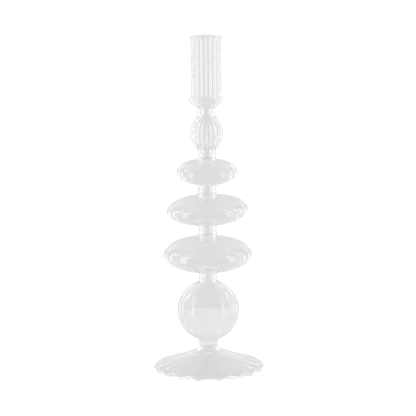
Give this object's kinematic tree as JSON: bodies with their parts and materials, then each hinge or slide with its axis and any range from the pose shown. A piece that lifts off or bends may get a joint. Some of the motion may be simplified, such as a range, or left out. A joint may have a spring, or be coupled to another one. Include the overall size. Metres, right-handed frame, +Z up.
{
  "type": "glass candlestick",
  "caption": "Tall hollow candlestick of clear ribbed glass: tube cup and collar for a taper candle, blown bulbs and discs on short stems, and a flared foot with a scalloped rim.",
  "frame": {"origin": "middle of the plane that the scallops of the foot rest on, on the candle's axis", "axes": "+Z up along the candle's axis; +X through the tip of one scallop"},
  "size_m": [0.0924, 0.0916, 0.28],
  "materials": {
    "glass_tube": "clear fluted tube with a fire-polished lip",
    "glass_blown": "clear thin blown glass with soft ribs outside and a smooth inside",
    "glass_stem": "clear thick-walled glass, ribs nearly melted out",
    "glass_foot": "clear glass with radial ripples and a rounded, fire-polished rim"
  },
  "bodies": {
    "root": {"candle_cup": "glass_tube", "drip_collar": "glass_blown", "stem_1": "glass_stem", "oval_bulb": "glass_blown", "stem_2": "glass_stem", "small_disc": "glass_blown", "stem_3": "glass_stem", "middle_disc": "glass_blown", "stem_4": "glass_stem", "large_disc": "glass_blown", "stem_5": "glass_stem", "ball": "glass_blown", "stem_6": "glass_stem", "foot": "glass_foot"}
  },
  "joints": []
}
